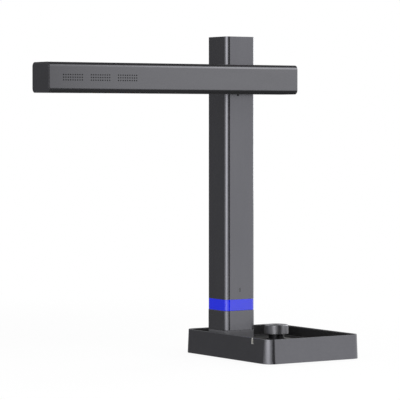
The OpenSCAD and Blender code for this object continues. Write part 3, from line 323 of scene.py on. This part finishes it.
BASE_FRONT = (-0.06, -0.085, 0.0004)
COLUMN_CORNER = (-0.06, 0.012, 0.0005)
BASE_CORNER = (-0.063, -0.086, 0.0006)
hanging("card_behind", (128, 240), (-12, 24), CARD)
hanging("card_left", (-120, -103), (-12, 46), MIDDLE_CARD)
hanging("felt_back_right", (122, 150), (24, 50), FELT)
hanging("felt_before", (-22, 22), (-12, 46), FELT)
hanging("felt_above", (-180, 180), (47, 92), FELT)
lying("floor_card_behind", BASE_FRONT, (128, 240), CARD)
lying("floor_card_left", BASE_FRONT, (-120, -103), MIDDLE_CARD)
lying("floor_felt_before", BASE_FRONT, (-10, 26), FELT)
lying("floor_card_column", COLUMN_CORNER, (-82, -44), SILVER_CARD, reach=1.6, start=0.3)
lying("floor_card_corner", BASE_CORNER, (-78, -33), BRIGHT_CARD, reach=0.5)
# Painted shade under the base: a black sheet lies there, and only reflections show it
flag("shade_under_base", level_sheet(steps(-0.07, 0.07, 0.002), steps(-0.092, 0.092, 0.002), 0.0008),
     FELT)
flag("felt_under_arm", level_sheet(steps(-0.36, 0.05, 0.01), steps(-0.054, -0.012, 0.016), 0.3284),
     FELT)
# It slants across the tray as the light does that the column sends to the camera
over_tray = level_sheet(steps(-0.068, -0.018, 0.008), steps(-0.09, 0.006, 0.004), 0.0312)
over_tray[..., 0] += math.tan(math.radians(CAMERA_AZIMUTH)) * over_tray[..., 1]
flag("card_over_tray", over_tray, WHITE_CARD)
standing("card_beside_column", -0.0204, steps(0.006, 0.034, 0.008), steps(0.018, 0.08, 0.005),
         MIDDLE_CARD)
standing("card_beside_knob", 0.046, steps(0.012, 0.07, 0.006)[::-1], steps(0.016, 0.039, 0.003),
         MIDDLE_CARD)


# Soft boxes

def soft_box(name, azimuth, elevation, distance, size, level):
    """A rectangular lamp that looks at the middle of the object from a direction. level is what a
    mirror would show of it, where 1 is white, and its power is level times pi times its area."""
    light = bpy.data.lights.new(name, "AREA")
    light.shape = "RECTANGLE"
    light.size, light.size_y = size
    light.energy = level * math.pi * size[0] * size[1]
    made = bpy.data.objects.new(name, light)
    scene.collection.objects.link(made)
    made.location = MIDDLE + distance * towards(azimuth, elevation)
    look_back(made, azimuth, elevation)
    made.visible_camera = False
    return made


soft_box("key_right_front", 48, 30, 1.4, (0.8, 0.6), 1.15)
soft_box("strip_left", -60, 11, 1.6, (1.2, 1.4), 1.75)
soft_box("rim_back_right", 112, 14, 1.6, (0.7, 0.9), 3.4)
fill = soft_box("fill_front", 0, 40, 1.8, (1.2, 0.8), 3.0)
fill.visible_glossy = False


# Finishes, one for each material slot of the record. Each is named for what the real one is.
# Grains finer than half a millimetre are drawn 0.4 to 1 mm wide, or they wouldn't show.

# Sprayed lacquer: real flakes are 0.05 mm, drawn 1.2 mm wide to show at all at this distance
SPRAYED = {"pattern": FLAKES, "size": 1.2, "bump": 0.0008, "metal": 0.85}
# Blasted and anodised profile: the blast marks are 0.1 mm, drawn 1 mm wide, and a little drawn out
# the way the profile came out of its die, which is Z in the column and X in the arm
BLASTED = {"size": 1.0, "bump": 0.002, "metal": 0.85}
SATIN = (0.17, 0.21)
KNOB_AXIS = (26.7, 28, 0)
LENS_AXIS = (-304.3, -15.75, 0)

finish = {
    # Satin lacquer over ABS: an even dark grey with a hint of sparkle and soft long highlights
    "base_shell": surface("abs_sprayed_anthracite", "#727277", "#6d6d72", SATIN, **SPRAYED),
    "sleeve_grey": surface("abs_sprayed_sleeve", "#727277", "#6d6d72", SATIN, **SPRAYED),
    # The end caps are a shade darker than the rest. This is partly their own tone and partly painted shade
    # for the arm's ends, which face away from the light
    "cap_grey": surface("abs_sprayed_end_cap_shaded", "#6d6d72", "#68686d", SATIN, **SPRAYED),
    # Extruded aluminium, blasted and anodised: the same grey, finer and with a faint drawn grain
    "column_grey": surface("aluminium_extruded_column", "#727277", "#6d6d72", SATIN,
                           stretch=(1, 1, 0.15), **BLASTED),
    "arm_grey": surface("aluminium_extruded_arm", "#757579", "#707074", SATIN,
                        stretch=(0.15, 1, 1), **BLASTED),
    # Black ABS from a spark-worn mould: a low sheen that breaks up in fine grains
    "liner_black": surface("abs_moulded_black", "#2d2d2e", "#272728", (0.34, 0.42), size=0.8, bump=0.02),
    "hub_black": surface("abs_moulded_hub", "#1d1d1e", "#161617", (0.4, 0.5), size=0.6),
    "cover_grey": surface("abs_moulded_dark_grey", "#434346", "#39393c", (0.42, 0.55), size=0.8,
                          bump=0.02),
    # Powder coat on sheet steel: small flat pebbles with a dull shine
    "plate_black": surface("steel_sheet_powder_coated", "#2b2b2d", "#242426", (0.45, 0.6),
                           pattern=FLAKES, size=0.9, bump=0.015),
    # Moulded rubber: almost no shine, and a dusty lighter tone where it is rubbed
    "foot_rubber": surface("rubber_moulded", "#232322", "#161616", (0.75, 0.9), size=0.6, bump=0.02),
    # Bright zinc on small screws: a bluish white with patches of crystals, drawn 0.8 mm wide
    "screw_zinc": surface("steel_zinc_plated", "#b9bcc4", "#8f9397", (0.28, 0.45), pattern=FLAKES,
                          size=0.8, bump=0.004, metal=1.0),
    # Black oxide on small screws: oily dark brown-grey steel
    "screw_black": surface("steel_black_oxide", "#2e2d2d", "#201f20", (0.35, 0.5), size=0.5, metal=1.0),
    # Hot rolled steel: blue-brown mill scale in flat plates
    "weight_steel": surface("steel_hot_rolled", "#6d6a68", "#4d4947", (0.45, 0.7), pattern=FLAKES,
                            size=3, metal=1.0),
    # Glass and epoxy board: green lacquer, lighter where it covers the copper tracks
    "board_green": surface("glass_epoxy_solder_mask", "#2d7a4c", "#17452b", (0.3, 0.42),
                           pattern=TRACKS, size=1.2, bump=0.03),
    # Deep-drawn nickel plate: a warm bright metal with faint drawing marks
    "socket_steel": surface("steel_nickel_plated", "#c9c7c1", "#adafae", (0.22, 0.32), size=0.5,
                            metal=1.0, stretch=(1, 0.1, 1)),
    # Stamped nickel plate: duller, with a fine grain
    "encoder_metal": surface("steel_stamped_nickel", "#b3b2ae", "#95979a", (0.3, 0.42), size=0.6,
                             metal=1.0),
    # Flat cable: cream polyester film over flat copper cores 1 mm apart
    "ribbon": surface("polyester_flat_cable", "#d8d1ba", "#b9ab8d", (0.35, 0.45), pattern=CORES,
                      size=1.0, bump=0.02),
    # Turned aluminium, anodised black: fine rings from the lathe under a dark coat
    "collar_dark": surface("aluminium_turned_black_anodised", "#3a3a3d", "#303033", (0.3, 0.42),
                           size=0.5, metal=0.8, turned_at=KNOB_AXIS),
    # Turned aluminium, anodised anthracite: upright streaks of light on the side, a sheen like two
    # fans on top. The tool marks are 0.1 mm apart, drawn 0.5 mm
    "knob_metal": surface("aluminium_turned_anthracite", "#a2a2a6", "#96969a", (0.44, 0.52),
                          size=0.5, metal=1.0, turned_at=KNOB_AXIS),
    # Turned aluminium, bright: a light ring round the window
    "bezel_metal": surface("aluminium_turned_bright", "#bcbec2", "#a3a6aa", (0.2, 0.34), size=0.4,
                           metal=1.0, turned_at=LENS_AXIS),
    # Cast aluminium, blasted and painted matt: the same lightness on every side
    "foot_cast": surface("aluminium_cast_matt", "#6a6a6e", "#616165", (0.55, 0.65), size=0.8, bump=0.02),
    # Milled aluminium: bright, with cutter lines along it
    "hinge_aluminium": surface("aluminium_milled", "#b8babd", "#a2a4a8", (0.28, 0.4), size=0.6,
                               metal=1.0, stretch=(1, 1, 0.1)),
    # Sintered bronze: brown-gold with fine dark pores
    "hinge_bronze": surface("bronze_sintered", "#a8834c", "#7d5f35", (0.4, 0.55), size=0.4, metal=1.0),
    # Ground steel: a cool grey with short straight scratches along X
    "hinge_steel": surface("steel_ground", "#a9abad", "#8c8e90", (0.25, 0.4), size=0.5, metal=1.0,
                           stretch=(0.1, 1, 1)),
    # Extruded PVC: a soft black sheath with a faint drawn sheen
    "lead_black": surface("pvc_extruded_black", "#202021", "#1a1a1b", (0.45, 0.55), stretch=(1, 1, 0.2)),
    # White lacquer of a light strip: slightly warm, a little uneven
    "led_white": surface("strip_white_solder_mask", "#e2e0d6", "#d2d0c6", (0.4, 0.5)),
    # Moulded polycarbonate round the lens: deep black, so that no stray light comes back
    "housing_black": surface("polycarbonate_moulded_black", "#1c1c1d", "#161617", (0.5, 0.65), size=0.6),
    # Woven polyester: black threads 0.5 mm apart, dull, with light only on their backs
    "grille_black": surface("polyester_woven_black", "#1c1c1c", "#080808", (0.8, 0.95), pattern=WEAVE,
                            size=0.5, bump=0.1),
    # Moulded polypropylene: black with a waxy shine
    "speaker_black": surface("polypropylene_moulded", "#242424", "#1b1b1b", (0.5, 0.65), size=0.7),
    # Acetal: milky white and waxy
    "plunger_white": surface("acetal_moulded_white", "#eeede8", "#e2e0da", (0.35, 0.45), size=0.5,
                             **{"IOR": 1.48}),
    # Cast acrylic over blue lights: a deep glossy blue that glows a little from inside
    "band_blue": surface("acrylic_light_guide_blue", "#0a1eeb", "#081ce2", (0.06, 0.1), size=2, bump=0.002,
                         **{"IOR": 1.49, "Coat Weight": 1.0, "Coat IOR": 1.55, "Coat Roughness": 0.03,
                            "Emission Color": linear("#0027ff"), "Emission Strength": 0.22}),
    # Smoked acrylic: a small glossy mark hardly darker than the column
    "window_smoked": surface("acrylic_smoked", "#5e5e62", "#58585c", (0.1, 0.16), **{"IOR": 1.49}),
    # Ground glass with a purple coating against reflections
    "lens_coated": surface("glass_ground_coated", "#10101c", "#0a0b14", (0.03, 0.05), bump=0.0,
                           **{"IOR": 1.6, "Specular Tint": linear("#cba0ff")}),
    # Float glass: clear, a little grey-green, with the dark lens behind it
    "window_glass": surface("glass_float_window", "#d4dcd8", "#ccd5d1", (0.02, 0.04), bump=0.0,
                            **{"IOR": 1.52, "Transmission Weight": 1.0}),
    # Frosted acrylic: white, even, and deep enough to hide the lamps behind it
    "bar_frosted": surface("acrylic_frosted", "#e9e8e3", "#dcdbd5", (0.45, 0.55), size=0.5,
                           **{"IOR": 1.49, "Subsurface Weight": 0.3, "Subsurface Scale": 0.002}),
}
for made in nodes.values():
    for slot in made.material_slots:
        slot.material = finish[slot.material.name]


# Soft edges: the paint and the mould's radii round what the CAD model leaves sharp

ONE_POINT = 0.01
FLAT = math.radians(1)
SHARP = math.radians(40)
EDGES = {
    0.5: ("tray_liner", "lower_sleeve", "light_band", "column_cap", "column_foot",
          "underside_cover"),
    0.3: ("base_tray",),
    0.1: ("column_tube", "end_cap_left", "end_cap_right", "knob_cap"),
}
for width, names in EDGES.items():
    for name in names:
        weld = nodes[name].modifiers.new("weld", "WELD")
        weld.merge_threshold = ONE_POINT * MM
        flat = nodes[name].modifiers.new("flat_faces", "DECIMATE")
        flat.decimate_type = "DISSOLVE"
        flat.angle_limit = FLAT
        bevel = nodes[name].modifiers.new("soft_edges", "BEVEL")
        bevel.width = width * MM
        bevel.segments = 3
        bevel.use_clamp_overlap = False
        bevel.limit_method = "ANGLE"
        bevel.angle_limit = SHARP
        even = nodes[name].modifiers.new("even_normals", "WEIGHTED_NORMAL")
        even.weight = 100


# Pieces too small for the CAD model

SEAM = 0.005


def fitted(made, body):
    """Closes the seams of a new piece, which comes with one of the record's finishes, and lets it ride on
    a body.
    """
    close = made.modifiers.new("closed_seams", "WELD")
    close.merge_threshold = SEAM * MM
    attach(made, body)


def around(profile, axis, sides):
    """Points of a turned piece: a profile of (distance, height) pairs carried round an upright axis.
    A point is axis + (d cos t, -d sin t, h)."""
    t = np.linspace(0, 2 * np.pi, sides, endpoint=False)
    d, h = profile[:, :1], profile[:, 1:]
    return np.array(axis) + np.stack([d * np.cos(t), -d * np.sin(t), np.repeat(h, sides, 1)], -1)


# Black cups in the sound holes: painted shade, which makes the holes read as dark dots. Each starts at the
# middle of its floor, comes forward along its wall, and closes behind the floor again
FIRST_HOLE = (-321.8, 343.65)
HOLE_PITCH = 3.15
PATCH_PITCH = 37.4
CUP = np.array([(0.0, -35.3), (0.6, -35.3), (0.6, -36.3), (0.76, -36.3), (0.76, -35.1), (0.0, -35.1)])
cup = around(CUP, (0, 0, 0), 10)[..., [0, 2, 1]]
columns = FIRST_HOLE[0] + PATCH_PITCH * np.arange(3)[:, None] + HOLE_PITCH * np.arange(9)
lines = FIRST_HOLE[1] + HOLE_PITCH * np.arange(3)
x, z = np.meshgrid(columns.ravel(), lines)
holes = np.stack([x, np.zeros_like(x), z], -1).reshape(-1, 1, 1, 3)
fitted(grid_mesh("grille_shade_cups", (holes + cup) * MM, finish["grille_black"], closed=True),
       "arm")

# Ribbed throat between the lens window and the lens: its ribs swallow light from the side. A cone
# gets narrower upwards with every second point set out by the depth of a rib, and a straight
# wall leads back down outside it
THROAT_Z = (330.15, 332.4)
THROAT_R = (10.6, 7.3)
THROAT_OUT = 10.9
RIB = 0.12
point = np.arange(19)
ribs = np.linspace(*THROAT_R, len(point)) + RIB * (-1) ** point
cone = np.column_stack([ribs, np.linspace(*THROAT_Z, len(point))])
throat = np.concatenate([cone, [(THROAT_OUT, THROAT_Z[1]), (THROAT_OUT, THROAT_Z[0])], cone[:1]])
fitted(grid_mesh("lens_throat", around(throat, LENS_AXIS, 48) * MM, finish["housing_black"],
                 closed=True), "arm")

# White lining of the lead notch, flush with the tray's leaning outer wall. Seen along X it is a
# U: down the near side, round two corners as quadratic curves, and up the far side
TRAY_Z = (0.8, 30.8)
TRAY_X = (-71.0, -69.8)
NOTCH_FLOOR = (-59.0, 23.52)
HALF_WIDTH = 1.78
HEIGHT = 7.23
ROUND = 0.6
DEPTH = 1.4
WALL = 0.1
turn = np.linspace(0, 1, 7)[:, None]
corner, side, floor = np.array([(HALF_WIDTH, 0.0), (HALF_WIDTH, ROUND), (HALF_WIDTH - ROUND, 0.0)])
arc = (1 - turn) ** 2 * side + 2 * turn * (1 - turn) * corner + turn ** 2 * floor
half = np.concatenate([[(HALF_WIDTH, HEIGHT)], arc])
path = np.concatenate([half * (-1, 1), half[::-1]]) + NOTCH_FLOOR
flush = np.interp(path[:, 1], TRAY_Z, TRAY_X)
guide = np.stack([np.column_stack([flush + inset, path]) for inset in (0.0, DEPTH)])
lining = grid_mesh("lead_guide", guide * MM, finish["plunger_white"])
wall = lining.modifiers.new("wall", "SOLIDIFY")
wall.thickness = WALL * MM
wall.offset = -1.0
wall.use_even_offset = True
fitted(lining, "stand")
